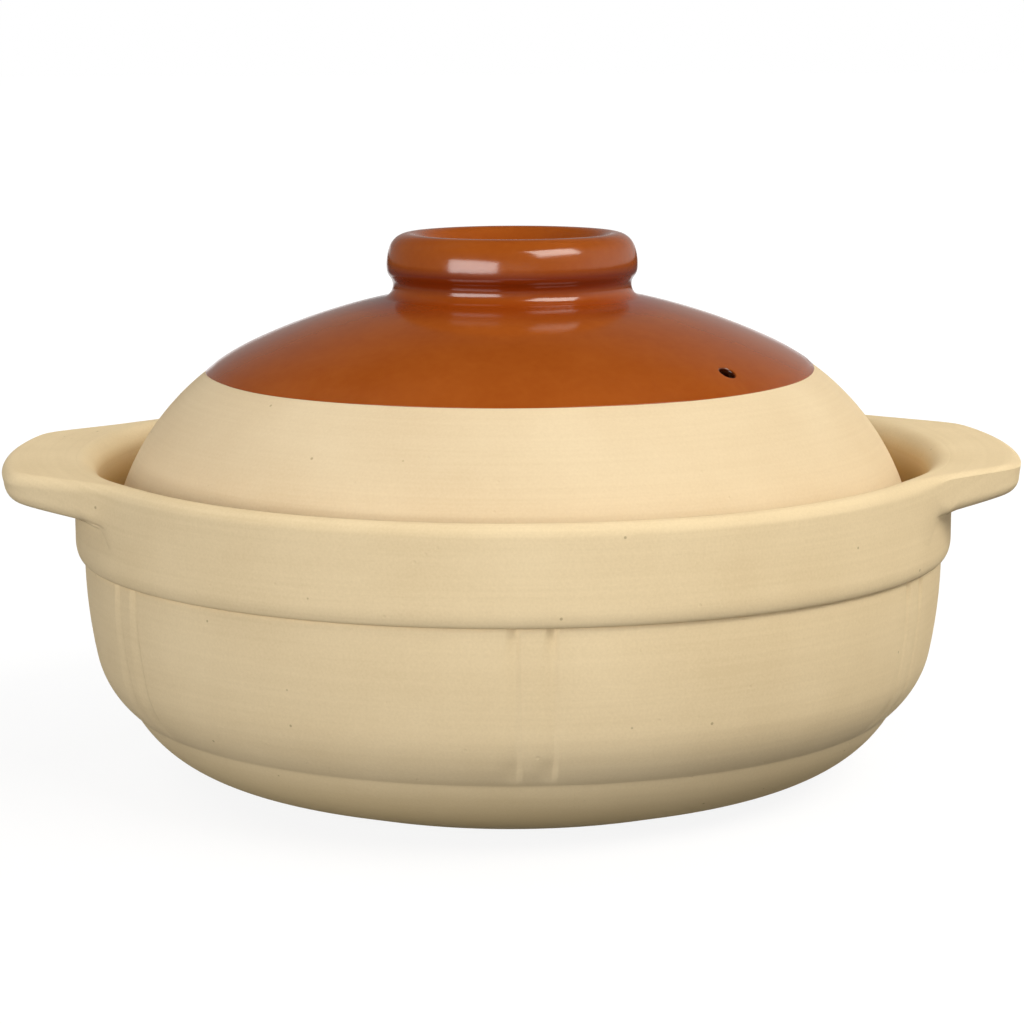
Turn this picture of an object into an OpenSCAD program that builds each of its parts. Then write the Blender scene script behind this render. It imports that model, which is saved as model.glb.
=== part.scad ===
// Clay cooking pot with a loose lift-off lid, in millimetres.
// The base stands on z = 0 around the z axis, and the two handles lie along the x axis.

/* [Rim collar] */
// Outside diameter of the collar band
collar_d = 240; // [210:1:280]
// Height of the rim above the surface that the pot stands on
rim_h = 87; // [75:1:120]
// Height of the collar band
collar_h = 25; // [20:0.5:32]
// Height of the rounding along the collar's lower edge
collar_edge_h = 4.5; // [2:0.1:7]
// How far that rounding draws in
collar_edge_w = 1.8; // [0.5:0.1:3]
// Width of the level lip between that rounding and the bowl's wall
collar_lip = 0.6; // [0.2:0.1:2]
// Thickness of the rim above the ledge
rim_t = 6.5; // [5:0.1:9]
// Depth of the ledge below the rim
ledge_drop = 14.5; // [10:0.5:17]
// Width of the ledge inside the rim
ledge_w = 11; // [9:0.5:14]
// Radius of the ledge's rounded nose
ledge_nose = 2; // [1:0.1:3]
// Radius of the corner between the ledge and the rim
ledge_fillet = 1.8; // [0.5:0.1:2.5]

/* [Bowl] */
// Thickness of the bowl's wall
wall_t = 8; // [6:0.1:10]
// Thickness of the bowl's floor
floor_t = 9; // [6:0.5:12]
// Radius of the inside corner between wall and floor
bowl_corner = 42; // [36:1:48]
// Width of the foot, from the flat base out to the crease
foot_w = 33.6; // [26:0.2:46]
// Height of the crease between the foot and the belly
crease_h = 20.2; // [14:0.1:24]
// Radius of the belly's lower curve
belly_round = 25; // [18:0.5:30]
// Angle below level at which the belly runs into the crease
belly_turn = 52.5; // [45:0.5:58]
// Angle below level at which the side passes into the belly's lower curve
side_lean = 11.4; // [9:0.1:14]
// Slope of the foot where it leaves the base
foot_slope = 17.5; // [12:0.5:20]
// Radius of the foot's upper curve
foot_round = 33; // [28:0.5:40]
// Thickness of the glaze that lines the bowl
lining_t = 0.5; // [0.3:0.1:1]

/* [Ribs] */
// Number of upright ribs round the bowl
rib_count = 6; // [3:1:12]
// Width of the level strip between a rib's two grooves
rib_w = 7.3; // [4:0.1:12]
// Width of each groove
groove_w = 2; // [1:0.1:3]
// Depth of each groove
groove_depth = 0.8; // [0.4:0.1:1.5]

/* [Handles] */
// How far a handle reaches out from the collar
handle_reach = 19.2; // [14:0.2:30]
// Half of the angle that a handle spans on the collar
handle_span = 29.8; // [22:0.2:36]
// Angle between a handle's sides and the line out through its middle
handle_flank = 37; // [25:1:50]
// How softly a handle's corners and its root are eased
handle_ease = 1.5; // [0.8:0.1:2.5]
// How far a handle's top stands above the rim
handle_rise = 1.7; // [0:0.1:3]
// Thickness of a handle at its tip
handle_tip_t = 9; // [8:0.5:12]
// Thickness of a handle at the collar
handle_root_t = 12; // [10:0.5:15]
// Rounding of a handle's upper edge
handle_top_round = 3.4; // [1.5:0.1:4]
// Rounding of a handle's lower edge
handle_low_round = 4; // [1.5:0.1:4.5]
// How far the lower edge draws in under the upper edge
handle_draft = 0.5; // [0:0.1:3]

/* [Lid] */
// Gap between the lid's edge and the inside of the rim
lid_gap = 4.5; // [2:0.1:7]
// Thickness of the lid
lid_t = 7; // [5:0.1:9]
// Radius of the lid's shoulder
shoulder_r = 68; // [62:0.5:76]
// Angle above level at which the shoulder starts at the seat
edge_angle = 14; // [8:0.5:18]
// Half of the angle that the lid's crown spans
crown_angle = 25; // [20:0.5:30]
// Width of the bare clay from the lid's edge in to the glaze
bare_w = 24.8; // [16:0.2:30]
// Thickness of the glaze on the lid
glaze_t = 0.4; // [0.2:0.1:0.8]
// Diameter of the steam hole
vent_d = 4.8; // [3:0.1:8]
// Distance of the steam hole from the lid's edge
vent_in = 32.2; // [30:0.2:35]
// Direction of the steam hole, from the x axis
vent_azimuth = -47; // [-90:1:90]

/* [Knob] */
// Widest diameter of the knob's ring
knob_d = 67.8; // [62:0.2:80]
// How far the neck draws in under the ring
neck_in = 2.1; // [1:0.1:4]
// Height of the knob above the lid's crown
knob_h = 17.5; // [15:0.5:24]
// Radius of the hollow between crown and ring
neck_round = 4.5; // [3.5:0.1:5.5]
// Radius of the ring's lower edge
ring_low_round = 3.5; // [1.5:0.1:4]
// Radius of the ring's outer upper edge
ring_out_round = 5.8; // [3:0.1:6.5]
// Radius of the ring's inner upper edge
ring_in_round = 4.6; // [2:0.1:5.5]
// Depth of the dish inside the ring
dish_depth = 11; // [10:0.5:13]
// Radius of the corner round the dish's floor
dish_round = 5; // [3:0.1:6.5]

/* [Hidden] */
$fn = 180;

clay = [0.86, 0.77, 0.60];
pale_clay = [0.92, 0.83, 0.67];
brown_glaze = [0.63, 0.32, 0.13];

// Chords in a short and in a long arc of an outline
few = 6;
many = 14;
// How far a cutting tool passes the face that it leaves by
past = 2;

// Rim collar
collar_r = collar_d / 2;
collar_z = rim_h - collar_h;
wall_r = collar_r - collar_edge_w - collar_lip;
gallery_r = collar_r - rim_t;
rim_round = rim_t / 2;
rim_crest_r = collar_r - rim_round;
ledge_z = rim_h - ledge_drop;
ledge_in_r = gallery_r - ledge_w;

// Bowl: the side is one long arc, then the belly's lower curve, down to the crease
bowl_in_r = wall_r - wall_t;
corner_r = min(bowl_corner, collar_z - floor_t);
belly_drop = belly_round * (sin(belly_turn) - sin(side_lean));
side_round = (collar_z - crease_h - belly_drop) / sin(side_lean);
side_c = [wall_r - side_round, collar_z];
belly_c = side_c + (side_round - belly_round) * [cos(side_lean), -sin(side_lean)];
crease_r = belly_c.x + belly_round * cos(belly_turn);
// Foot: a straight slope from the base, then an arc that touches it and ends in the crease
foot_dir = [cos(foot_slope), sin(foot_slope)];
foot_up = [-sin(foot_slope), cos(foot_slope)];
base_r = crease_r - foot_w;
foot_end = [foot_w, crease_h];
foot_rise = foot_end * foot_up;
foot_run = foot_end * foot_dir - sqrt(foot_rise * (2 * foot_round - foot_rise));
foot_c = [base_r, 0] + foot_run * foot_dir + foot_round * foot_up;
foot_end_angle = atan2(crease_h - foot_c.y, crease_r - foot_c.x);

// Ribs
rib_step = 360 / rib_count;
groove_angle = groove_w / wall_r * 180 / PI;
groove_offset = (rib_w + groove_w) / 2 / wall_r * 180 / PI;

// Lid: a shoulder arc from the seat, then a crown arc that is level at the axis
lid_r = gallery_r - lid_gap;
shoulder_c = [lid_r, ledge_z] - shoulder_r * [cos(edge_angle), sin(edge_angle)];
crown_start = 90 - crown_angle;
crown_r = shoulder_c.x / cos(crown_start) + shoulder_r;
crown_z = shoulder_c.y - shoulder_c.x * tan(crown_start);
inner_seat_angle = asin((ledge_z - shoulder_c.y) / (shoulder_r - lid_t));
glaze_angle = acos((lid_r - bare_w - shoulder_c.x) / shoulder_r);
vent_angle = acos((lid_r - vent_in - shoulder_c.x) / shoulder_r);

// Knob: a neck that runs off the crown, and a ring with a dish inside
knob_r = knob_d / 2;
neck_c_r = knob_r - neck_in + neck_round;
neck_c = [neck_c_r, crown_z + sqrt(pow(crown_r + neck_round, 2) - pow(neck_c_r, 2))];
knob_foot_angle = atan2(neck_c.y - crown_z, neck_c.x);
knob_foot = [crown_r * cos(knob_foot_angle), crown_z + crown_r * sin(knob_foot_angle)];
ring_join = acos((knob_r - ring_low_round - neck_c_r) / (neck_round + ring_low_round));
ring_c = neck_c + (neck_round + ring_low_round) * [cos(ring_join), sin(ring_join)];
crest = [knob_r - ring_out_round, knob_foot.y + knob_h];
dish_r = crest.x - ring_in_round;
dish_z = crest.y - dish_depth;

// Handles: the number of sections, and the share of the span that they cover with the eased root
handle_sections = 32;
handle_cover = 1.05;
handle_end = handle_span * handle_cover;
handle_root_z = rim_h + handle_rise - handle_root_t;
// The flat strips of a handle's root touch the collar's round face at their middles
root_ease = 1 / cos(handle_end / handle_sections);
// Number of chords of the rim's rounding that a handle covers
rim_chords = 4;

// Points along an arc, from angle a to angle b
function arc(c, r, a, b, n) = [for (i = [0:n]) let (t = a + (b - a) * i / n) c + r * [cos(t), sin(t)]];

function reversed(list) = [for (i = [len(list) - 1:-1:0]) list[i]];

// The bowl's side from the crease up to the collar, drawn in by d
function side_path(d = 0) = concat(
    arc(belly_c, belly_round - d, -belly_turn, -side_lean, many),
    arc(side_c, side_round - d, -side_lean, 0, few)
);

// The inside of the bowl from the collar down to the axis, drawn in by d
function bowl_inside(d = 0) = concat(
    [[bowl_in_r - d, collar_z]],
    arc([bowl_in_r - corner_r, floor_t + corner_r], corner_r - d, 0, -90, many),
    [[0, floor_t + d]]
);

// The rim's rounding, from the outside over the crest to the inside
function rim_path() = arc([rim_crest_r, rim_h - rim_round], rim_round, 0, 180, many);

// The collar's outside, from its lower edge over the rim to the inside of the rim
function collar_outside() = concat(
    [[wall_r, collar_z]],
    [for (i = [0:few]) let (t = 90 - 90 * i / few) [
        collar_r - collar_edge_w * (1 - cos(t)),
        collar_z + collar_edge_h * (1 - sin(t))
    ]],
    rim_path()
);

// The lid's upper face from the glaze's edge to the knob's foot, grown by g
function crown_path(g = 0) = concat(
    arc(shoulder_c, shoulder_r + g, glaze_angle, crown_start, few),
    arc([0, crown_z], crown_r + g, crown_start, knob_foot_angle, few)
);

// The knob's outline from its foot over the ring to the dish, grown by g
function knob_path(g = 0) = concat(
    arc(neck_c, neck_round - g, 180 + knob_foot_angle, ring_join, many),
    arc(ring_c, ring_low_round + g, ring_join - 180, 0, few),
    arc([crest.x, crest.y - ring_out_round], ring_out_round + g, 0, 90, many),
    arc([crest.x, crest.y - ring_in_round], ring_in_round + g, 90, 180, few),
    arc([dish_r - dish_round, dish_z + dish_round], dish_round - g, 0, -90, few),
    [[0, dish_z + g]]
);

// How far the handle reaches out at angle a from its middle: straight sides, eased into the tip and the collar
function handle_out(a) =
    let (side = collar_r * (sin(handle_flank + handle_span) / sin(handle_flank + abs(a)) - 1))
    let (cut = -handle_ease * ln(exp(-side / handle_ease) + exp(-handle_reach / handle_ease)))
    handle_ease * ln(1 + exp(cut / handle_ease));

// The root of a handle, which lies against the rim and the collar, from the top down
function handle_root() = [for (i = [rim_chords:-1:0]) rim_path()[i], [collar_r, handle_root_z]];

// One section of a handle at angle a, as points in the plane of the axis
function handle_section(a) =
    let (out = handle_out(a))
    let (ease = min(1, out / (handle_top_round + handle_low_round)))
    let (top = handle_top_round * ease)
    let (low = handle_low_round * ease)
    let (under = handle_root_z + (handle_root_t - handle_tip_t) * out / handle_reach)
    let (over = rim_h + handle_rise * ease)
    let (tip = collar_r + out)
    concat(
        arc([tip - handle_draft * ease - low, under + low], low, -90, 0, few),
        arc([tip - top, over - top], top, 0, 90, few),
        [[rim_path()[rim_chords].x, rim_h]],
        [for (p = handle_root()) [p.x * root_ease, p.y]]
    );

// A solid through a row of sections, each with the same number of points
module loft(rows) {
    n = len(rows[0]);
    last = len(rows) - 1;
    faces = concat(
        [reversed([for (j = [0:n - 1]) j])],
        [for (i = [0:last - 1], j = [0:n - 1]) let (k = (j + 1) % n)
            each [[i * n + j, i * n + k, (i + 1) * n + k], [i * n + j, (i + 1) * n + k, (i + 1) * n + j]]],
        [[for (j = [0:n - 1]) last * n + j]]
    );
    polyhedron([for (row = rows) each row], faces);
}

// A handle on the +X side, against the collar's outline
module handle() {
    angles = [for (i = [0:handle_sections]) handle_end * (1 - 2 * i / handle_sections)];
    loft([for (a = angles) [for (p = handle_section(a)) [p.x * cos(a), p.x * sin(a), p.y]]]);
}

// The cutter for one groove, which follows the bowl's side at an even depth
module groove() {
    rotate([0, 0, -groove_angle / 2]) rotate_extrude(angle = groove_angle) polygon(concat(
        side_path(groove_depth),
        [[wall_r + past, collar_z], [wall_r + past, side_path(groove_depth)[0].y]]
    ));
}

// The steam hole's drill, square to the lid's face
module vent_drill() {
    rotate([0, 0, vent_azimuth]) translate([shoulder_c.x, 0, shoulder_c.y])
        rotate([0, 90 - vent_angle, 0]) translate([0, 0, shoulder_r - lid_t - past])
            cylinder(d = vent_d, h = lid_t + glaze_t + 2 * past);
}

module bowl() {
    color(clay) difference() {
        rotate_extrude() polygon(concat(
            [[0, 0], [base_r, 0]],
            arc(foot_c, foot_round, foot_slope - 90, foot_end_angle, many),
            side_path(),
            bowl_inside()
        ));
        for (i = [0:rib_count - 1], side = [-1, 1])
            rotate([0, 0, -90 + i * rib_step + side * groove_offset]) groove();
    }
}

module inner_glaze() {
    color(brown_glaze) rotate_extrude() polygon(concat(bowl_inside(), reversed(bowl_inside(lining_t))));
}

module rim_collar() {
    color(clay) rotate_extrude() polygon(concat(
        collar_outside(),
        arc([gallery_r - ledge_fillet, ledge_z + ledge_fillet], ledge_fillet, 0, -90, few),
        arc([ledge_in_r + ledge_nose, ledge_z - ledge_nose], ledge_nose, 90, 180, few),
        [[bowl_in_r, collar_z]]
    ));
}

module left_handle() {
    color(clay) rotate([0, 0, 180]) handle();
}

module right_handle() {
    color(clay) handle();
}

module lid_dome() {
    color(pale_clay) difference() {
        rotate_extrude() polygon(concat(
            arc(shoulder_c, shoulder_r, edge_angle, glaze_angle, many),
            crown_path(),
            [[0, knob_foot.y]],
            arc([0, crown_z], crown_r - lid_t, 90, crown_start, few),
            arc(shoulder_c, shoulder_r - lid_t, crown_start, inner_seat_angle, many)
        ));
        vent_drill();
    }
}

module lid_knob() {
    color(pale_clay) rotate_extrude() polygon(concat([[0, knob_foot.y]], knob_path()));
}

module lid_glaze() {
    color(brown_glaze) difference() {
        rotate_extrude() polygon(concat(
            crown_path(glaze_t),
            knob_path(glaze_t),
            reversed(knob_path()),
            reversed(crown_path())
        ));
        vent_drill();
    }
}

bowl();
inner_glaze();
rim_collar();
left_handle();
right_handle();
lid_dome();
lid_knob();
lid_glaze();
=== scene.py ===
"""A clay cooking pot with a loose domed lid: finished meshes, materials, light and camera."""

from math import acos, asin, atan2, cos, degrees, pi, radians, sin, sqrt, tan

import bmesh
import bpy
import numpy as np
from mathutils import Matrix, Vector


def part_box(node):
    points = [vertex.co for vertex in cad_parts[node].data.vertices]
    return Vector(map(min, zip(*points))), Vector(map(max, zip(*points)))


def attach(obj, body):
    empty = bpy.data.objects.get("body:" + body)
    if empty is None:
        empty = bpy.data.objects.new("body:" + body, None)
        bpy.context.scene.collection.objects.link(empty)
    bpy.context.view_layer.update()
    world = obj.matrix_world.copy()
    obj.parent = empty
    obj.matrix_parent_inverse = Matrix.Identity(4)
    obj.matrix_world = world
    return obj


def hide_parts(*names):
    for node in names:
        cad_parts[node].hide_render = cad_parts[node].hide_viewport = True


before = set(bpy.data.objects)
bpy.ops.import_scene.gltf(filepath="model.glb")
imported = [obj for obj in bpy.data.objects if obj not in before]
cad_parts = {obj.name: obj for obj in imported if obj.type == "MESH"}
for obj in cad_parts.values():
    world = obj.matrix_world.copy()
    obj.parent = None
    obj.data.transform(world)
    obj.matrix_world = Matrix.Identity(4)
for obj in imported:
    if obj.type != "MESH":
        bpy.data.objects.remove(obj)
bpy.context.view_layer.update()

# Sizes are in millimetres, angles in degrees
MM = 0.001


def box(node):
    """Lowest and highest corner of a CAD node."""
    return [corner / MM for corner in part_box(node)]


# Sizes that the frame gives
collar_r = box("rim_collar")[1].x
rim_h = box("rim_collar")[1].z
collar_z = box("rim_collar")[0].z
handle_reach = box("right_handle")[1].x - collar_r
ledge_z = box("lid_dome")[0].z
lid_r = box("lid_dome")[1].x
knob_top = box("lid_knob")[1].z

# Rim collar
rim_t = 6.5
rim_round = rim_t / 2
gallery_r = collar_r - rim_t
collar_edge_h = 4.5
collar_edge_w = 1.8
collar_lip = 0.6
wall_r = collar_r - collar_edge_w - collar_lip
ledge_w = 11
ledge_in_r = gallery_r - ledge_w
ledge_nose = 2
ledge_fillet = 1.8
collar_edge_rows = 12
collar_side_rows = 16
rim_rows = 14

# Bowl: a long side arc, the belly's lower curve, the crease, and the foot
bowl_t = 8
bowl_in_r = wall_r - bowl_t
floor_t = 9
bowl_corner = 42
lining_t = 0.5
crease_h = 20.2
belly_round = 25
belly_turn = 52.5
side_lean = 11.4
foot_w = 33.6
foot_slope = 17.5
foot_round = 33
base_fillet = 4
seam_h = 0.9
seam_depth = 0.5
# Ribs and unevenness fade in over this height above the crease
crease_fade = 7
# Edges that turn by more than this stay crisp
bowl_crisp = 25

# Ribs: pairs of pressed lines, each with a slow dip and a steep step, deeper at both ends
rib_count = 6
rib_w = 9.3
dip_w = 2.6
dip_w_low = 6
step_w = 1
step_w_low = 1.7
line_depth_mid = 0.4
line_depth_top = 0.9
line_depth_low = 1.7
# How soon the depth settles away from the ends
line_fade = 1.2
# The mesh is finer across each line, with a margin, and its other columns keep clear of that by an angle
line_margin = 0.6
line_columns = 45
line_clear = 0.4

# Handles
handle_span = 29.8
handle_flank = 37
handle_corner_ease = 1.5
handle_root_ease = 1.5
handle_skin = 0.08
handle_tip_t = 9
handle_root_t = 12.4
handle_low_round = 4
handle_fillet = 1.5
handle_draft = 0.4
handle_inset = 1.5
# Nearer the collar than this a handle swells out of it, and further out it has a clear underside
swell_out = 1
ledge_out = 4.5
swell_drop = 9
# Edges that turn by more than this stay crisp
handle_crisp = 25
# A handle's mesh goes this many times its span, and laps over the rim's crest
handle_cover = 1.25
handle_columns = 241
handle_lap = 0.4
handle_lap_drop = 0.1
brow_rows = 13
# Upper edges: width, height, angle to the face, and how soon they are whole away from the collar
left_edge = {"edge_w": 3.2, "edge_h": 3.0, "edge_turn": 0, "edge_grow": 2.5}
right_edge = {"edge_w": 2.8, "edge_h": 1.2, "edge_turn": 35, "edge_grow": 4.5}
right_handle_short = 0.9

# The rim rises towards the back, and its inner edge is softer at the handles
rim_rise = 1.7
rim_soft = 2.4
rim_soft_span = 18
rim_soft_fade = 16

# Lid
lid_t = 7
lid_edge_round = 1.2
shoulder_r = 68
edge_angle = 14
edge_blend = 1.2
crown_angle = 25
dome_rows = 64
dome_inner_rows = 40
# Edges that turn by more than this stay crisp
dome_crisp = 40
bare_w = 24.8
glaze_t = 0.4
glaze_edge_t = 0.15
glaze_taper = 5
vent_r = 2.1
vent_in = 32.2
vent_azimuth = -47
drill_depth = 4 * lid_t
drill_sides = 48
# Round the steam hole the glaze's mesh is a square with a round opening, a rounded lip and a sleeve
patch_half = 4.8
patch_cells = 8
patch_rows = (0.3, 0.55, 0.75, 0.9, 1)
lip = 0.55
lip_rows = 7
sleeve = 2.0
# Rows of the glaze's mesh near its lower edge, as shares of the way to that square
glaze_edge_rows = (0, 0.005, 0.012, 0.025, 0.045, 0.07, 0.1, 0.14, 0.19, 0.26, 0.36, 0.5, 0.75)
# Where the glaze's edge runs higher: angle from the front, width and rise
edge_lifts = ((57, 22, 0.7), (-75, 18, 0.8), (92, 24, 2.6))

# Knob: a neck, and a ring with a full round side
knob_r = 33.9
neck_round = 4
neck_lean = 40
ring_low_round = 3
ring_low_tip = 5
ring_side_round = 14
ring_tip = 20
ring_in_round = 4.6
dish_depth = 11
dish_slope = 40
dish_round = 4

# Hand-made unevenness: how often it waves round the axis, and for each piece its size and a seed
waver_turns = (2, 3, 5, 8)
bowl_waver = (0.12, 1)
collar_waver = (0.08, 2)
collar_edge_waver = (0.1, 3)
glaze_waver = (0.12, 4)

# Columns of faces round the axis
bowl_columns = 360
lining_columns = 240
collar_columns = 480
dome_columns = 360
knob_columns = 180
glaze_columns = 350


def unit(angle):
    return np.array((cos(radians(angle)), sin(radians(angle))))


# Bowl curves
belly_drop = belly_round * (sin(radians(belly_turn)) - sin(radians(side_lean)))
side_round = (collar_z - crease_h - belly_drop) / sin(radians(side_lean))
side_c = np.array((wall_r - side_round, collar_z))
belly_c = side_c + (side_round - belly_round) * unit(-side_lean)
crease_r = belly_c[0] + belly_round * cos(radians(belly_turn))
base_r = crease_r - foot_w
foot_rise = np.dot((foot_w, crease_h), unit(foot_slope + 90))
foot_run = np.dot((foot_w, crease_h), unit(foot_slope)) - sqrt(foot_rise * (2 * foot_round - foot_rise))
foot_c = np.array((base_r, 0)) + foot_run * unit(foot_slope) + foot_round * unit(foot_slope + 90)
foot_end = degrees(atan2(crease_h - foot_c[1], crease_r - foot_c[0]))

# Lid curves
shoulder_c = np.array((lid_r, ledge_z)) - shoulder_r * unit(edge_angle)
crown_start = 90 - crown_angle
crown_r = shoulder_c[0] / cos(radians(crown_start)) + shoulder_r
crown_c = np.array((0, shoulder_c[1] - shoulder_c[0] * tan(radians(crown_start))))
inner_seat = degrees(asin((ledge_z - shoulder_c[1]) / (shoulder_r - lid_t)))
glaze_angle = degrees(acos((lid_r - bare_w - shoulder_c[0]) / shoulder_r))
vent_angle = degrees(acos((lid_r - vent_in - shoulder_c[0]) / shoulder_r))

# Knob curves
ring_side_r = knob_r - ring_side_round
ring_low_r = ring_side_r + (ring_side_round - ring_low_round) * cos(radians(ring_low_tip))
neck_c_r = ring_low_r + (ring_low_round + neck_round) * cos(radians(neck_lean))
neck_c = np.array((neck_c_r, crown_c[1] + sqrt((crown_r + neck_round) ** 2 - neck_c_r ** 2)))
knob_foot = degrees(atan2(neck_c[1] - crown_c[1], neck_c[0]))
knob_foot_z = crown_c[1] + crown_r * sin(radians(knob_foot))
neck_top_z = neck_c[1] + neck_round * sin(radians(neck_lean))
ring_low_c = neck_c + (ring_low_round + neck_round) * unit(180 - neck_lean)
ring_side_c = ring_low_c - (ring_side_round - ring_low_round) * unit(-ring_low_tip)
ring_side_top = ring_side_c[1] + ring_side_round * sin(radians(ring_tip))
ring_top_round = (knob_top - ring_side_top) / (1 - sin(radians(ring_tip)))
ring_top_c = ring_side_c + (ring_side_round - ring_top_round) * unit(ring_tip)
crest_r = ring_top_c[0]
dish_z = knob_top - dish_depth
dish_top = np.array((crest_r, knob_top - ring_in_round)) + ring_in_round * unit(180 - dish_slope)
dish_drop = dish_top[1] - dish_z - dish_round * (1 - sin(radians(dish_slope)))
dish_low = dish_top - dish_drop * np.array((tan(radians(dish_slope)), 1))
dish_c = dish_low + dish_round * unit(180 - dish_slope)


# Outlines, as rows of radius and height

def arc(centre, radius, start, end, steps):
    t = np.radians(np.linspace(start, end, steps + 1))
    return np.column_stack((centre[0] + radius * np.cos(t), centre[1] + radius * np.sin(t)))


def line(start, end, steps):
    return np.linspace(start, end, steps + 1)


def smooth(x):
    x = np.clip(x, 0, 1)
    return x * x * (3 - 2 * x)


def waver(angles, size, seed):
    """A slow, hand-made unevenness round the axis."""
    return size * sum(np.cos(k * angles + seed * k * k) / k for k in waver_turns)


def rim_lift(angles):
    """How far the rim rises above its height at the front."""
    return rim_rise * (1 + np.sin(angles))


def rim_inner_round(angles):
    """Radius of the rim's inner edge."""
    off = np.degrees(np.arccos(np.abs(np.cos(angles))))
    return rim_round + rim_soft * (1 - smooth((off - rim_soft_span) / rim_soft_fade))


def bowl_inside(inset=0.0):
    corner = np.array((bowl_in_r - bowl_corner, floor_t + bowl_corner))
    return np.vstack((
        line((bowl_in_r - inset, collar_z), (bowl_in_r - inset, corner[1]), steps=3)[:-1],
        arc(corner, bowl_corner - inset, 0, -90, steps=36),
        line((corner[0], floor_t + inset), (0, floor_t + inset), steps=8)[1:],
    ))


def bowl_foot():
    fillet_run = base_fillet * tan(radians(foot_slope / 2))
    return np.vstack((
        line((0, 0), (base_r - fillet_run, 0), steps=8)[:-1],
        arc((base_r - fillet_run, base_fillet), base_fillet, -90, foot_slope - 90, steps=5),
        arc(foot_c, foot_round, foot_slope - 90, foot_end, steps=30),
    ))


def bowl_side():
    return np.vstack((
        arc(belly_c, belly_round, -belly_turn, -side_lean, steps=36)[:-1],
        arc(side_c, side_round, -side_lean, 0, steps=44),
    ))


def shoulder(angles, grow=0.0):
    t = np.radians(angles)
    return np.column_stack((
        shoulder_c[0] + (shoulder_r + grow) * np.cos(t),
        shoulder_c[1] + (shoulder_r + grow) * np.sin(t),
    ))


def knob_outline(grow=0.0):
    return np.vstack((
        arc(neck_c, neck_round - grow, 180 + knob_foot, 180 - neck_lean, steps=24),
        arc(ring_low_c, ring_low_round + grow, -neck_lean, -ring_low_tip, steps=10)[1:],
        arc(ring_side_c, ring_side_round + grow, -ring_low_tip, ring_tip, steps=14)[1:],
        arc(ring_top_c, ring_top_round + grow, ring_tip, 90, steps=18)[1:],
        arc((crest_r, knob_top - ring_in_round), ring_in_round + grow, 90, 180 - dish_slope, steps=12)[1:],
        arc(dish_c, dish_round - grow, -dish_slope, -90, steps=12),
        line((dish_c[0], dish_z + grow), (0, dish_z + grow), steps=5)[1:],
    ))


# Meshes

class Builder:
    """Collects the points and faces of one mesh, in millimetres."""

    def __init__(self):
        self.points = []
        self.faces = []

    def ring(self, radius, height, angles):
        """Adds one point at each angle and returns their numbers; a ring on the axis is one point."""
        first = len(self.points)
        radius, height = np.broadcast_to(radius, angles.shape), np.broadcast_to(height, angles.shape)
        if not radius.any():
            self.points.append((0, 0, height[0]))
            return np.full(len(angles), first)
        self.points.extend(zip(radius * np.cos(angles), radius * np.sin(angles), height))
        return first + np.arange(len(angles))

    def bridge(self, low, high, closed=True, skip=()):
        """Faces between two rows of points, apart from the columns to skip."""
        for j in range(len(low) if closed else len(low) - 1):
            k = (j + 1) % len(low)
            if j not in skip:
                face = list(dict.fromkeys((low[j], low[k], high[k], high[j])))
                if len(face) > 2:
                    self.faces.append(face)

    def revolve(self, radius, height, angles, loop=False):
        """Rings at the given radii and heights, one row each, joined by faces."""
        rings = [self.ring(r, z, angles) for r, z in zip(radius, height)]
        for low, high in zip(rings, rings[1:] + rings[:1] if loop else rings[1:]):
            self.bridge(low, high)
        return rings

    def piece(self, name, material):
        mesh = bpy.data.meshes.new(name)
        points = (np.array(self.points) * MM).tolist()
        mesh.from_pydata(points, [], [[int(i) for i in face] for face in self.faces])
        shell = bmesh.new()
        shell.from_mesh(mesh)
        bmesh.ops.recalc_face_normals(shell, faces=shell.faces)
        shell.to_mesh(mesh)
        shell.free()
        mesh.polygons.foreach_set("use_smooth", np.ones(len(mesh.polygons), bool))
        mesh.materials.append(material)
        piece = bpy.data.objects.new(name, mesh)
        bpy.context.scene.collection.objects.link(piece)
        return piece


def turns(steps):
    return np.linspace(0, 2 * pi, steps, endpoint=False)


def dress(piece, body, slot, *nodes):
    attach(piece, body)
    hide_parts(*nodes)
    return piece


# Pieces of the pot

def rib_lines():
    """Azimuths of the pressed lines, in radians."""
    half = rib_w / 2 / wall_r
    return [radians(-90 + 360 / rib_count * i) + side * half for i in range(rib_count) for side in (-1, 1)]


def line_angles():
    """Angles round the bowl, closer together across each pressed line."""
    spread = np.linspace(-dip_w_low - line_margin, step_w_low + line_margin, line_columns) / wall_r
    fine = np.concatenate([at + spread for at in rib_lines()])
    coarse = turns(bowl_columns)
    gaps = np.abs(np.angle(np.exp(1j * (coarse[:, None] - fine[None, :]))))
    far = gaps.min(axis=1) > radians(line_clear)
    return np.sort(np.mod(np.concatenate((coarse[far], fine)), 2 * pi))


def line_depth(angles, rise):
    """Depth of the pressed lines at a share of the height from the crease to the collar."""
    middle = 4 * rise * (1 - rise)
    ends = line_depth_low + (line_depth_top - line_depth_low) * rise
    depth = ends + (line_depth_mid - ends) * smooth(middle * line_fade)
    step = step_w + (step_w_low - step_w) * (1 - rise) ** 2
    dip = dip_w + (dip_w_low - dip_w) * (1 - rise ** 2)
    total = np.zeros_like(angles)
    for at in rib_lines():
        across = np.angle(np.exp(1j * (angles - at))) * wall_r
        total += np.where(across < 0, smooth(1 + across / dip), np.clip(1 - across / step, 0, 1))
    return depth * total


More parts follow.
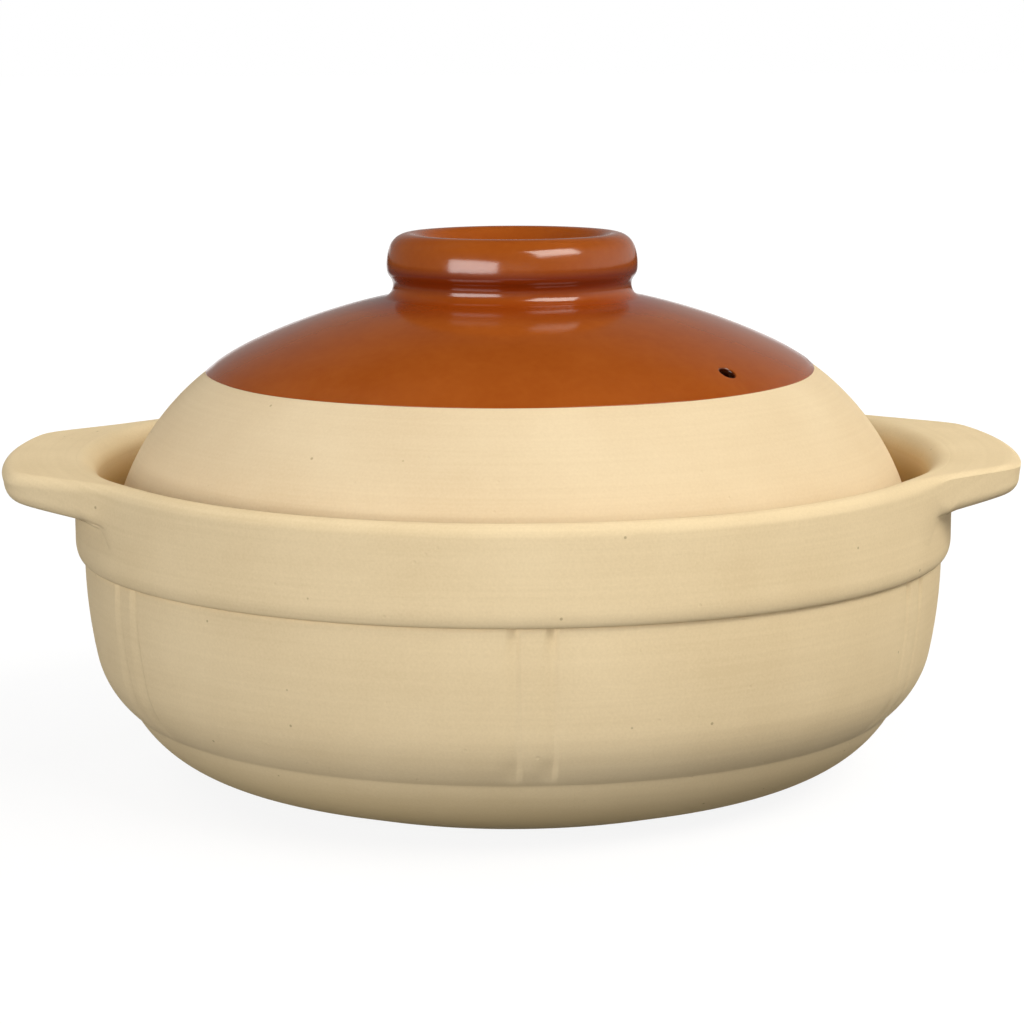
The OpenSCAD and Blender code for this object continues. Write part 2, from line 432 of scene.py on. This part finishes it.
def make_bowl(material):
    foot, side, inside = bowl_foot(), bowl_side(), bowl_inside()
    angles = line_angles()
    seam = (collar_z - side[:, 1]) / seam_h
    radius = [np.full_like(angles, r) for r in foot[:, 0]]
    height = [np.full_like(angles, z) for z in foot[:, 1]]
    for (r, z), s in zip(side[1:], seam[1:]):
        uneven = waver(angles, *bowl_waver) - line_depth(angles, (z - crease_h) / (collar_z - crease_h))
        radius.append(r + uneven * smooth((z - crease_h) / crease_fade) - seam_depth * (1 - smooth(s)))
        height.append(np.full_like(angles, z))
    radius.extend(np.full_like(angles, r) for r in inside[:, 0])
    height.extend(np.full_like(angles, z) for z in inside[:, 1])
    mesh = Builder()
    mesh.revolve(radius, height, angles)
    bowl = mesh.piece("bowl_clay", material)
    bowl.data.set_sharp_from_angle(angle=radians(bowl_crisp))
    return dress(bowl, "pot", "clay_pot", "bowl")


def make_lining(material):
    angles = turns(lining_columns)
    outer, inner = bowl_inside(), bowl_inside(lining_t)
    rows = np.vstack((inner[::-1], outer))
    mesh = Builder()
    mesh.revolve(rows[:, 0], rows[:, 1], angles)
    return dress(mesh.piece("inner_glaze_coat", material), "pot", "glaze_lining", "inner_glaze")


def make_collar(material):
    angles = turns(collar_columns)
    inner = rim_inner_round(angles)
    outer = rim_t - inner
    lift = rim_lift(angles)
    uneven = waver(angles, *collar_waver)
    edge_top = collar_z + collar_edge_h
    rows = [(wall_r - seam_depth, collar_z), (wall_r, collar_z)]
    for t in np.radians(np.linspace(90, 0, collar_edge_rows)):
        low = 1 - np.sin(t)
        side = collar_r - collar_edge_w * (1 - np.cos(t)) + uneven
        sway = waver(angles, *collar_edge_waver) * 4 * low * (1 - low)
        rows.append((side, collar_z + collar_edge_h * low + sway))
    for share in np.linspace(0, 1, collar_side_rows)[1:]:
        rows.append((collar_r + uneven, edge_top + (rim_h + lift - outer - edge_top) * share))
    for t in np.radians(np.linspace(0, 90, rim_rows))[1:]:
        rows.append((collar_r - outer * (1 - np.cos(t)) + uneven, rim_h + lift - outer * (1 - np.sin(t))))
    for t in np.radians(np.linspace(90, 180, rim_rows))[1:]:
        rows.append((gallery_r + inner * (1 + np.cos(t)), rim_h + lift - inner * (1 - np.sin(t))))
    inside = np.vstack((
        arc((gallery_r - ledge_fillet, ledge_z + ledge_fillet), ledge_fillet, 0, -90, steps=8),
        arc((ledge_in_r + ledge_nose, ledge_z - ledge_nose), ledge_nose, 90, 180, steps=8),
        line((ledge_in_r, ledge_z - ledge_nose), (bowl_in_r, collar_z), steps=4)[1:],
    ))
    rows.extend(inside)
    mesh = Builder()
    mesh.revolve([r for r, z in rows], [z for r, z in rows], angles, loop=True)
    return dress(mesh.piece("rim_collar_clay", material), "pot", "clay_pot", "rim_collar")


def handle_out(offset, reach):
    """How far a handle reaches out at an angle from its middle, eased at the tip and the collar."""
    slant = sin(radians(handle_flank + handle_span)) / sin(radians(handle_flank + abs(offset)))
    side = collar_r * (slant - 1)
    cut = -handle_corner_ease * np.logaddexp(-side / handle_corner_ease, -reach / handle_corner_ease)
    return handle_root_ease * np.logaddexp(0, cut / handle_root_ease) - handle_skin


def handle_section(at, offset, reach, edge_w, edge_h, edge_turn, edge_grow):
    """One section of a handle, from the rim's crest over the tip and down to the collar's face."""
    out = handle_out(offset, reach)
    share = smooth(out / reach * edge_grow)
    inner = rim_inner_round(at)
    outer = rim_t - inner
    crest = gallery_r + inner
    top_z = rim_h + rim_lift(at)
    tip = collar_r + out
    face = collar_r - handle_skin

    # The upper edge falls away from the tip by a width and a height, and ends at an angle to the face
    fall_w = outer + (edge_w - outer) * share
    fall_h = outer + (edge_h - outer) * share
    turn = np.radians(np.linspace(90, edge_turn * share, brow_rows))
    brow = np.column_stack((
        tip - fall_w + fall_w * np.cos(turn) / cos(turn[-1]),
        top_z - fall_h * (1 - np.sin(turn)) / (1 - sin(turn[-1])),
    ))

    # The face and the underside
    ease = np.clip(out / (handle_low_round + handle_fillet + handle_draft), 0, 1)
    low = handle_low_round * ease
    fillet = handle_fillet * ease
    foot = tip - handle_draft * ease
    root_z = rim_h + rim_rise - handle_root_t
    under = root_z + (handle_root_t - handle_tip_t) * max(0, out) / reach
    ledge = np.vstack((
        line(brow[-1], (foot, under + low), steps=6)[1:-1],
        arc((foot - low, under + low), low, 0, -90, steps=10)[:-1],
        line((foot - low, under), (face + fillet, root_z), steps=8)[:-1],
        arc((face + fillet, root_z - fillet), fillet, 90, 180, steps=8),
    ))

    # Close to the collar the face runs down into it
    drop = np.linspace(brow[-1][1], root_z - swell_drop, len(ledge) + 1)[1:]
    swell_share = smooth((drop - drop[-1]) / (root_z + swell_drop - drop[-1]))
    swell = np.column_stack((face + (tip - face) * swell_share, drop))
    lower = swell + (ledge - swell) * smooth((out - swell_out) / (ledge_out - swell_out))

    section = np.vstack((
        (crest - handle_lap, top_z - handle_lap_drop),
        line((crest + handle_lap, top_z), brow[0], steps=12)[:-1],
        brow,
        lower,
        (collar_r - handle_inset, lower[-1][1]),
        (collar_r - handle_inset, top_z - rim_round),
        (crest - handle_lap, top_z - handle_inset),
    ))
    section[:, 0] += waver(np.array(at), *collar_waver)
    return section


def make_handle(name, node, azimuth, reach, edge, material):
    mesh = Builder()
    rows = []
    for offset in np.linspace(-handle_cover, handle_cover, handle_columns) * handle_span:
        at = radians(azimuth + offset)
        section = handle_section(at, offset, reach, **edge)
        first = len(mesh.points)
        mesh.points.extend((r * cos(at), r * sin(at), z) for r, z in section)
        rows.append(first + np.arange(len(section)))
    for low, high in zip(rows, rows[1:]):
        mesh.bridge(low, high)
    mesh.faces.extend((rows[0][::-1], rows[-1]))
    handle = mesh.piece(name, material)
    handle.data.set_sharp_from_angle(angle=radians(handle_crisp))
    return dress(handle, "pot", "clay_pot", node)


# Pieces of the lid

def drill_axis():
    """A point on the lid's face at the steam hole, and the direction square to it."""
    radius, height = shoulder(np.array((vent_angle,)))[0]
    around, up = unit(vent_azimuth), unit(vent_angle)
    at = Vector((radius * around[0], radius * around[1], height))
    return at, Vector((up[0] * around[0], up[0] * around[1], up[1]))


def make_dome(material):
    edge_c = np.array((lid_r - lid_edge_round, ledge_z + lid_edge_round))
    rows = np.vstack((
        arc(edge_c, lid_edge_round, -90, edge_angle, steps=8)[:-1],
        shoulder(np.linspace(edge_angle + edge_blend, crown_start, dome_rows)),
        arc(crown_c, crown_r, crown_start, knob_foot, steps=10)[1:],
        line((crown_r * cos(radians(knob_foot)), knob_foot_z), (0, knob_foot_z), steps=4)[1:],
        arc(crown_c, crown_r - lid_t, 90, crown_start, steps=24),
        shoulder(np.linspace(crown_start, inner_seat, dome_inner_rows), -lid_t)[1:],
    ))
    angles = turns(dome_columns)
    mesh = Builder()
    rings = mesh.revolve(rows[:, 0], rows[:, 1], angles)
    mesh.bridge(rings[-1], rings[0])
    dome = mesh.piece("lid_dome_clay", material)
    drill(dome, vent_r + glaze_t)
    return dress(dome, "lid", "clay_lid", "lid_dome")


def drill(piece, radius):
    """Cuts the steam hole out of a piece."""
    at, direction = drill_axis()
    cutter_mesh = bpy.data.meshes.new("drill")
    shape = bmesh.new()
    bmesh.ops.create_cone(shape, cap_ends=True, segments=drill_sides, depth=drill_depth * MM,
                          radius1=radius * MM, radius2=radius * MM)
    shape.to_mesh(cutter_mesh)
    shape.free()
    cutter = bpy.data.objects.new("drill", cutter_mesh)
    turn = direction.to_track_quat("Z", "Y").to_matrix().to_4x4()
    cutter.matrix_world = Matrix.Translation(at * MM) @ turn
    bpy.context.scene.collection.objects.link(cutter)
    cut = piece.modifiers.new("steam_hole", "BOOLEAN")
    cut.operation = "DIFFERENCE"
    cut.solver = "EXACT"
    cut.object = cutter
    bpy.context.view_layer.update()
    done = bpy.data.meshes.new_from_object(piece.evaluated_get(bpy.context.evaluated_depsgraph_get()))
    piece.modifiers.clear()
    piece.data = done
    done.set_sharp_from_angle(angle=radians(dome_crisp))
    bpy.data.objects.remove(cutter)


def make_knob(material):
    rows = np.vstack(((0, knob_foot_z), knob_outline()))
    mesh = Builder()
    mesh.revolve(rows[:, 0], rows[:, 1], turns(knob_columns))
    return dress(mesh.piece("lid_knob_clay", material), "lid", "clay_lid", "lid_knob")


def glaze_edge(angles):
    """The angle on the shoulder of the glaze's lower edge, which isn't quite level."""
    front = np.degrees(np.angle(np.exp(1j * (angles + pi / 2))))
    lift = sum(size * np.exp(-((front - at) / width) ** 2) for at, width, size in edge_lifts)
    return glaze_angle + np.degrees((lift + waver(angles, *glaze_waver)) / shoulder_r)


def make_glaze(material):
    patch_turn = degrees(patch_half / (shoulder_c[0] + shoulder_r * cos(radians(vent_angle))))
    patch_rise = degrees(patch_half / shoulder_r)
    patch = np.radians(np.linspace(vent_azimuth - patch_turn, vent_azimuth + patch_turn, patch_cells + 1))
    rest = np.linspace(patch[-1], patch[0] + 2 * pi, glaze_columns + 1)[1:-1]
    angles = np.concatenate((patch, rest))
    edge = glaze_edge(angles)
    low, high = vent_angle - patch_rise, vent_angle + patch_rise
    reach = np.radians(low - edge) * shoulder_r

    def coat(run):
        """Thickness of the glaze at a distance from its edge."""
        full = glaze_edge_t + (glaze_t - glaze_edge_t) * smooth(run / glaze_taper)
        return full * np.sqrt(1 - (1 - np.minimum(1, run / glaze_edge_t)) ** 2)

    def sheet(mesh, grow):
        """One face of the glaze, from its edge to the axis, with a square left open for the hole."""
        rings = []
        for share in glaze_edge_rows:
            at = edge + (low - edge) * share
            points = shoulder(at, grow * coat(reach * share) / glaze_t)
            rings.append(mesh.ring(points[:, 0], points[:, 1], angles))
        block = []
        for at in np.linspace(low, high, patch_cells + 1):
            r, z = shoulder(np.array((at,)), grow)[0]
            block.append(mesh.ring(r, z, angles))
        above = np.vstack((
            shoulder(np.linspace(high, crown_start, 3), grow)[1:],
            arc(crown_c, crown_r + grow, crown_start, knob_foot, steps=12)[1:],
            knob_outline(grow)[1:],
        ))
        upper = [mesh.ring(r, z, angles) for r, z in above]
        rows = rings + block + upper
        for n, (a, b) in enumerate(zip(rows, rows[1:])):
            inside = len(rings) <= n < len(rings) + patch_cells
            mesh.bridge(a, b, skip=range(patch_cells) if inside else ())
        frame_ids = list(block[0][:patch_cells]) + [ring[patch_cells] for ring in block[:-1]]
        frame_ids += list(block[-1][patch_cells:0:-1]) + [ring[0] for ring in block[:0:-1]]
        return rows, np.array(frame_ids)

    def hole(mesh, frame_ids, grow, radius):
        """Rings of points from the open square in to a round hole."""
        side = np.linspace(-1, 1, patch_cells + 1)
        square = [(s, -1) for s in side[:-1]] + [(1, s) for s in side[:-1]]
        square += [(s, 1) for s in side[:0:-1]] + [(-1, s) for s in side[:0:-1]]
        square = np.array(square) * patch_half
        circle = square / np.linalg.norm(square, axis=1)[:, None] * radius
        last = frame_ids
        for share in patch_rows:
            flat = square + (circle - square) * share
            at = vent_angle + np.degrees(flat[:, 1] / shoulder_r)
            points = shoulder(at, grow)
            turn = radians(vent_azimuth) + flat[:, 0] / points[:, 0]
            first = len(mesh.points)
            mesh.points.extend(zip(points[:, 0] * np.cos(turn), points[:, 0] * np.sin(turn), points[:, 1]))
            ring = first + np.arange(len(turn))
            mesh.bridge(last, ring)
            last = ring
        return last

    def sink(mesh, last, depth, draw):
        """The last ring of points again, deeper in the hole and drawn in."""
        at, direction = drill_axis()
        moved = []
        for i in last:
            p = Vector(mesh.points[i])
            away = p - at - direction * (p - at).dot(direction)
            moved.append(tuple(p - direction * depth - away.normalized() * draw))
        first = len(mesh.points)
        mesh.points.extend(moved)
        ring = first + np.arange(len(moved))
        mesh.bridge(last, ring)
        return ring

    mesh = Builder()
    outer, outer_frame = sheet(mesh, glaze_t)
    inner, inner_frame = sheet(mesh, 0.0)
    mesh.bridge(outer[0], inner[0])
    mouth = hole(mesh, outer_frame, glaze_t, vent_r + lip)
    turn = np.radians(np.linspace(0, 90, lip_rows))
    for a, b in zip(turn, turn[1:]):
        mouth = sink(mesh, mouth, lip * (cos(a) - cos(b)), lip * (sin(b) - sin(a)))
    mouth = sink(mesh, mouth, sleeve, 0)
    back = hole(mesh, inner_frame, 0.0, vent_r + glaze_t)
    back = sink(mesh, back, sleeve + lip - glaze_t, 0)
    mesh.bridge(mouth, back)
    return dress(mesh.piece("lid_glaze_coat", material), "lid", "glaze_brown", "lid_glaze")


# Materials

def srgb(*levels):
    """A colour written as display levels from 0 to 255, in linear light."""
    return tuple(((c / 255 + 0.055) / 1.055) ** 2.4 if c > 10 else c / 255 / 12.92 for c in levels) + (1.0,)


# Clay: scale and detail of its patterns, then their shares and spread in the tone and the relief
clay_mottle = (28.0, 4.0)
clay_grain = (1500.0, 3.0)
clay_lines = (1.0, 2.0)
lines_across = 900.0
lines_along = 14.0
lines_tilt = 0.6
clay_tone_shares = {"lines": 0.2, "grain": 0.3, "mottle": 0.5}
clay_tone_spread = (0.36, 0.64)
speck_scale = 90.0
speck_spread = (0.042, 0.026)
speck_share = 0.5
pit_scale = 125.0
pit_spread = (0.035, 0.07)
clay_relief_shares = {"pits": 0.6, "lines": 0.3, "grain": 0.2}
clay_relief = 0.00018
clay_relief_strength = 0.7
clay_rough_spread = (0.3, 0.7, 0.78, 0.92)
clay_shine = 0.25

# The pot's clay has painted shade inside the gallery, from a depth below the rim: a warmer, darker tone for
# the shade and bounce light in that recess. It is also duller towards the base
gallery_shade_tone = srgb(206, 170, 112)
gallery_shade_drop = 9
foot_tone = srgb(184, 158, 102)
foot_tone_h = 22
foot_tone_share = 0.7

# Glaze: scale and detail of its patterns, then their shares and spread
glaze_mottle = (45.0, 5.0)
glaze_fine = (420.0, 3.0)
glaze_skin = (260.0, 3.0)
glaze_tone_shares = {"fine": 0.3, "mottle": 0.7}
glaze_tone_spread = (0.34, 0.66)
glaze_relief = 0.00006
glaze_relief_strength = 0.5
glaze_rough_spread = (0.3, 0.7)
glaze_shine = 0.75

# Painted shade on the lid's glaze: darker under the ring, within a height, darker and redder round the
# neck's foot for the neck's reflection and shade there, and dark in the hole
under_ring_shade_tone = srgb(116, 40, 5)
under_ring_shade_h = 4
under_ring_shade_core = 1.5
under_ring_shade_edge = 1
neck_foot_shade_tone = srgb(144, 58, 9)
neck_foot_shade_w = 11
hole_shade_tone = srgb(58, 20, 4)


class Graph:
    """Short ways to write the nodes of a material or a world."""

    def __init__(self, data, place="Object"):
        self.data = data
        data.use_nodes = True
        self.tree = data.node_tree
        self.tree.nodes.clear()
        self.place = self.add("ShaderNodeTexCoord").outputs[place]

    def add(self, kind, inputs=None, **settings):
        node = self.tree.nodes.new(kind)
        for name, value in settings.items():
            setattr(node, name, value)
        for name, value in (inputs or {}).items():
            if isinstance(value, bpy.types.NodeSocket):
                self.tree.links.new(value, node.inputs[name])
            else:
                node.inputs[name].default_value = value
        return node

    def math(self, operation, a, b=0.0, c=0.0):
        return self.add("ShaderNodeMath", {0: a, 1: b, 2: c}, operation=operation).outputs[0]

    def noise(self, scale, detail=2.0, place=None):
        inputs = {"Vector": place or self.place, "Scale": scale, "Detail": detail}
        return self.add("ShaderNodeTexNoise", inputs).outputs["Fac"]

    def spread(self, value, low, high, to_low=0.0, to_high=1.0):
        inputs = {"Value": value, "From Min": low, "From Max": high, "To Min": to_low, "To Max": to_high}
        return self.add("ShaderNodeMapRange", inputs).outputs["Result"]

    def blend(self, shares, **patterns):
        """The sum of some patterns, each times its share."""
        total = 0.0
        for name, share in shares.items():
            total = self.math("MULTIPLY_ADD", patterns[name], share, total)
        return total

    def cells(self, scale):
        """Distance from the nearest of many scattered points."""
        return self.add("ShaderNodeTexVoronoi", {"Vector": self.place, "Scale": scale}).outputs["Distance"]

    def bump(self, height, distance, strength):
        inputs = {"Height": height, "Distance": distance, "Strength": strength}
        return self.add("ShaderNodeBump", inputs).outputs["Normal"]

    def vector(self, operation, a, b=(0.0, 0.0, 0.0)):
        return self.add("ShaderNodeVectorMath", {0: a, 1: b}, operation=operation).outputs

    def mix(self, share, a, b):
        return self.add("ShaderNodeMix", {0: share, 6: a, 7: b}, data_type="RGBA").outputs[2]

    def finish(self, **inputs):
        named = {
            name.replace("_", " ").title().replace("Ior", "IOR"): value
            for name, value in inputs.items()
        }
        shader = self.add("ShaderNodeBsdfPrincipled", named)
        self.add("ShaderNodeOutputMaterial", {"Surface": shader.outputs["BSDF"]})
        return self.data

    def radius(self):
        """Distance from the axis."""
        x, y, z = self.add("ShaderNodeSeparateXYZ", {0: self.place}).outputs
        flat = self.add("ShaderNodeCombineXYZ", {0: x, 1: y}).outputs[0]
        return self.vector("LENGTH", flat)["Value"]

    def rings(self, across, along):
        """Coordinates that change fast across a turned surface and slowly round it."""
        x, y, z = self.add("ShaderNodeSeparateXYZ", {0: self.place}).outputs
        return self.add("ShaderNodeCombineXYZ", {
            0: self.math("MULTIPLY", x, along),
            1: self.math("MULTIPLY", y, along),
            2: self.math("MULTIPLY", self.math("MULTIPLY_ADD", self.radius(), -lines_tilt, z), across),
        }).outputs[0]


def gallery_shade_and_foot_tone(g, colour):
    """The pot's clay, with painted shade inside the gallery as a warmer, darker tone, and a duller tone at
    the foot.
    """
    z = g.add("ShaderNodeSeparateXYZ", {0: g.place}).outputs[2]
    # Painted shade: the gallery's recess, from a depth below the rim, inside the rim's inner edge
    inside = g.math("MULTIPLY", g.spread(z, collar_z * MM, (collar_z + collar_edge_h) * MM),
                    g.spread(z, rim_h * MM, (rim_h - gallery_shade_drop) * MM))
    inside = g.math("MULTIPLY", inside, g.spread(g.radius(), (gallery_r + rim_round) * MM, gallery_r * MM))
    low = g.spread(z, foot_tone_h * MM, 0.0, 0.0, foot_tone_share)
    return g.mix(low, g.mix(inside, colour, gallery_shade_tone), foot_tone)


def clay(name, light, dark, speck, finish=None):
    """Bare fired clay: fine grain, turning lines, soft mottling, and a few dark specks and pinholes."""
    g = Graph(bpy.data.materials.new(name))
    mottle = g.noise(*clay_mottle)
    grain = g.noise(*clay_grain)
    lines = g.noise(*clay_lines, g.rings(lines_across, lines_along))
    tone = g.blend(clay_tone_shares, lines=lines, grain=grain, mottle=mottle)
    body = g.mix(g.spread(tone, *clay_tone_spread), dark, light)
    specks = g.math("MULTIPLY", g.spread(g.cells(speck_scale), *speck_spread), speck_share)
    pits = g.spread(g.cells(pit_scale), *pit_spread)
    if finish:
        body = finish(g, body)
    relief = g.blend(clay_relief_shares, pits=pits, lines=lines, grain=grain)
    return g.finish(
        base_color=g.mix(specks, body, speck),
        roughness=g.spread(grain, *clay_rough_spread),
        normal=g.bump(relief, clay_relief, clay_relief_strength),
        specular_ior_level=clay_shine,
    )


def painted_lid_shade(g, colour):
    """The lid's glaze with painted shade: darker under the ring and in the steam hole, and darker and
    redder round the neck's foot, a painted reflection of the neck and its shade.
    """
    z = g.add("ShaderNodeSeparateXYZ", {0: g.place}).outputs[2]
    radius = g.radius()
    # Painted shade under the ring, in a band about the neck's top
    off = g.math("ABSOLUTE", g.math("SUBTRACT", z, neck_top_z * MM))
    level = g.spread(off, under_ring_shade_h * MM, under_ring_shade_core * MM)
    outside = g.spread(radius, crest_r * MM, (crest_r + under_ring_shade_edge) * MM)
    under = g.math("MULTIPLY", level, outside)
    # Painted shade and reflection of the neck round its foot, darker and redder
    foot = g.spread(radius, (neck_c_r + neck_foot_shade_w) * MM, neck_c_r * MM)
    foot = g.math("MULTIPLY", foot, g.spread(z, neck_c[1] * MM, knob_foot_z * MM))
    # Painted shade in the steam hole, darkest inside its lip
    at, direction = drill_axis()
    across = g.vector("CROSS_PRODUCT", g.vector("SUBTRACT", g.place, at * MM)[0], direction)[0]
    hole = g.spread(g.vector("LENGTH", across)["Value"], (vent_r + lip) * MM, vent_r * MM)
    return g.mix(hole, g.mix(under, g.mix(foot, colour, neck_foot_shade_tone), under_ring_shade_tone), hole_shade_tone)


def glaze(name, light, dark, rough_low, rough_high, finish=None):
    """Brown glaze: satin gloss, soft mottling, and a fine uneven skin."""
    g = Graph(bpy.data.materials.new(name))
    mottle = g.noise(*glaze_mottle)
    tone = g.blend(glaze_tone_shares, fine=g.noise(*glaze_fine), mottle=mottle)
    colour = g.mix(g.spread(tone, *glaze_tone_spread), dark, light)
    if finish:
        colour = finish(g, colour)
    return g.finish(
        base_color=colour,
        roughness=g.spread(mottle, *glaze_rough_spread, rough_low, rough_high),
        normal=g.bump(g.noise(*glaze_skin), glaze_relief, glaze_relief_strength),
        specular_ior_level=glaze_shine,
    )


# Light, floor and camera

# The world: its strength, the change towards the right, and the share of it left in front of the object
world_level = 0.33
world_right = 0.23
world_front = 0.25
# Between these directions along y it dims towards the front, and between these heights it fades out
world_front_from = -0.2
world_front_to = -0.9
world_fade_from = 0.1
world_fade_to = 0.75
# The white band behind the object ends between these heights, and to the sides between these directions
band_from = 0.02
band_to = 0.05
band_y_from = 0.97
band_y_to = 0.9

# The floor: half its width, its own tone, its lift, and the distances between which that grows to white
floor_half = 15.0
floor_tone = 0.15
floor_glow = 0.88
clear_from = 0.3
clear_to = 1.2
# Its part in the photo's view ends in front, and at sides that spread with the distance
front_from = -0.2
front_to = -0.5
side_from = 0.12
side_to = 0.2
side_spread = 0.18

# The camera: its place, its turn, and its lens in pixels of the photo
camera_azimuth = -2.6
camera_distance = 0.780
camera_height = 0.200
camera_pitch = 9.43
camera_roll = -0.2
camera_yaw = 0.02
focal_pixels = 2853
image_pixels = 1024
sensor = 36.0

# The lamps face a point at this height, from this distance
lid_light_h = 0.12
lamp_distance = 2.0
neutral = (1.0, 1.0, 1.0)
warm = (1.0, 0.96, 0.88)


def softbox(name, azimuth, elevation, width, height, power, colour, shine=True):
    """A soft rectangular lamp, with its size and power as at a metre, which may leave no highlight."""
    lamp = bpy.data.lights.new(name, "AREA")
    lamp.shape = "RECTANGLE"
    lamp.size = width * lamp_distance
    lamp.size_y = height * lamp_distance
    lamp.energy = power * lamp_distance ** 2
    lamp.color = colour
    holder = bpy.data.objects.new(name, lamp)
    a, e = radians(azimuth + camera_azimuth), radians(elevation)
    back = Vector((sin(a) * cos(e), -cos(a) * cos(e), sin(e)))
    holder.location = Vector((0, 0, lid_light_h)) + back * lamp_distance
    holder.rotation_mode = "QUATERNION"
    holder.rotation_quaternion = back.to_track_quat("Z", "Y")
    holder.visible_camera = False
    holder.visible_glossy = shine
    bpy.context.scene.collection.objects.link(holder)


def make_world():
    """A studio that is brighter on the right, dim in front, dark overhead, and white behind the object."""
    world = bpy.data.worlds.new("studio")
    bpy.context.scene.world = world
    g = Graph(world, "Generated")
    x, y, z = g.add("ShaderNodeSeparateXYZ", {0: g.place}).outputs
    path = g.add("ShaderNodeLightPath").outputs
    sides = g.math("MULTIPLY_ADD", x, world_right, world_level)
    front = g.spread(y, world_front_to, world_front_from, world_front, 1.0)
    fade = g.spread(z, world_fade_from, world_fade_to, 1.0, 0.0)
    room = g.math("MULTIPLY", g.math("MULTIPLY", sides, front), fade)
    seen = g.math("MAXIMUM", path["Is Camera Ray"], g.spread(y, band_y_to, band_y_from))
    band = g.math("MULTIPLY", g.spread(z, band_from, band_to, 1.0, 0.0), seen)
    strength = g.math("MAXIMUM", room, band)
    glow = g.add("ShaderNodeBackground", {"Color": (1.0, 1.0, 1.0, 1.0), "Strength": strength})
    g.add("ShaderNodeOutputWorld", {"Surface": glow.outputs[0]})


def make_floor():
    """A floor that keeps the object's shadow, lifted to white where the camera or a shiny surface sees it.

    Shiny surfaces see that lift only on the part of the floor that is in the photo's view.
    """
    g = Graph(bpy.data.materials.new("floor"))
    path = g.add("ShaderNodeLightPath").outputs
    at = g.add("ShaderNodeNewGeometry").outputs["Position"]
    away = g.vector("LENGTH", at)["Value"]
    x, y, z = g.add("ShaderNodeSeparateXYZ", {0: at}).outputs
    beside = g.math("MULTIPLY_ADD", y, -side_spread, g.math("ABSOLUTE", x))
    in_view = g.math("MULTIPLY", g.spread(y, front_to, front_from), g.spread(beside, side_to, side_from))
    shiny = g.math("MAXIMUM", path["Is Glossy Ray"], path["Is Transmission Ray"])
    mirrored = g.math("MULTIPLY", shiny, in_view)
    seen = g.math("MAXIMUM", path["Is Camera Ray"], mirrored)
    lift = g.math("MULTIPLY", seen, g.spread(away, clear_from, clear_to, floor_glow, 1.0))
    pale = g.add("ShaderNodeBsdfDiffuse", {"Color": (floor_tone, floor_tone, floor_tone, 1.0)})
    glow = g.add("ShaderNodeEmission", {"Strength": lift})
    both = g.add("ShaderNodeAddShader", {0: pale.outputs[0], 1: glow.outputs[0]})
    g.add("ShaderNodeOutputMaterial", {"Surface": both.outputs[0]})
    mesh = bpy.data.meshes.new("floor")
    sides = ((-1, -1), (1, -1), (1, 1), (-1, 1))
    corners = [(across * floor_half, along * floor_half, 0) for across, along in sides]
    mesh.from_pydata(corners, [], [(0, 1, 2, 3)])
    mesh.materials.append(g.data)
    floor = bpy.data.objects.new("floor", mesh)
    bpy.context.scene.collection.objects.link(floor)


def make_camera():
    data = bpy.data.cameras.new("camera")
    data.sensor_width = sensor
    data.lens = focal_pixels * sensor / image_pixels
    camera = bpy.data.objects.new("camera", data)
    a = radians(camera_azimuth)
    camera.location = (sin(a) * camera_distance, -cos(a) * camera_distance, camera_height)
    turn = Matrix.Rotation(a + radians(camera_yaw), 4, "Z")
    pitch = Matrix.Rotation(radians(90 - camera_pitch), 4, "X")
    roll = Matrix.Rotation(radians(camera_roll), 4, "Z")
    camera.rotation_euler = (turn @ pitch @ roll).to_euler()
    bpy.context.scene.collection.objects.link(camera)
    bpy.context.scene.camera = camera


# The pot's clay gets painted shade inside the gallery from its finish
pot_clay = clay("pot_clay", light=srgb(229, 208, 169), dark=srgb(217, 195, 155),
                speck=srgb(120, 100, 66), finish=gallery_shade_and_foot_tone)
lid_clay = clay("lid_clay", light=srgb(222, 202, 167), dark=srgb(213, 191, 155),
                speck=srgb(140, 112, 72))
# The brown glaze's finish paints shade under the ring, round the neck's foot and in the steam hole
brown_glaze = glaze("brown_glaze", light=srgb(158, 80, 26), dark=srgb(148, 71, 20),
                    rough_low=0.12, rough_high=0.18, finish=painted_lid_shade)
lining_glaze = glaze("lining_glaze", light=srgb(128, 62, 24), dark=srgb(104, 46, 16),
                     rough_low=0.12, rough_high=0.2)

make_bowl(pot_clay)
make_lining(lining_glaze)
make_collar(pot_clay)
make_handle("left_handle_clay", "left_handle", 180, handle_reach, left_edge, pot_clay)
make_handle("right_handle_clay", "right_handle", 0, handle_reach - right_handle_short, right_edge, pot_clay)
make_dome(lid_clay)
make_knob(lid_clay)
make_glaze(brown_glaze)

make_camera()
make_world()
make_floor()
softbox("left_softbox", azimuth=-36, elevation=8, width=0.85, height=0.47, power=6.4,
        colour=neutral)
softbox("right_softbox", azimuth=48, elevation=43, width=0.72, height=0.46, power=6.5,
        colour=warm)
softbox("front_fill", azimuth=8, elevation=8, width=0.5, height=0.3, power=2.1,
        colour=neutral, shine=False)
softbox("right_fill", azimuth=95, elevation=25, width=0.5, height=0.5, power=2.8,
        colour=warm, shine=False)
softbox("back_left_fill", azimuth=-120, elevation=45, width=0.7, height=0.7, power=3.2,
        colour=neutral, shine=False)
softbox("back_right_fill", azimuth=130, elevation=45, width=0.7, height=0.7, power=2.8,
        colour=neutral, shine=False)
bpy.context.scene.view_settings.view_transform = "Standard"
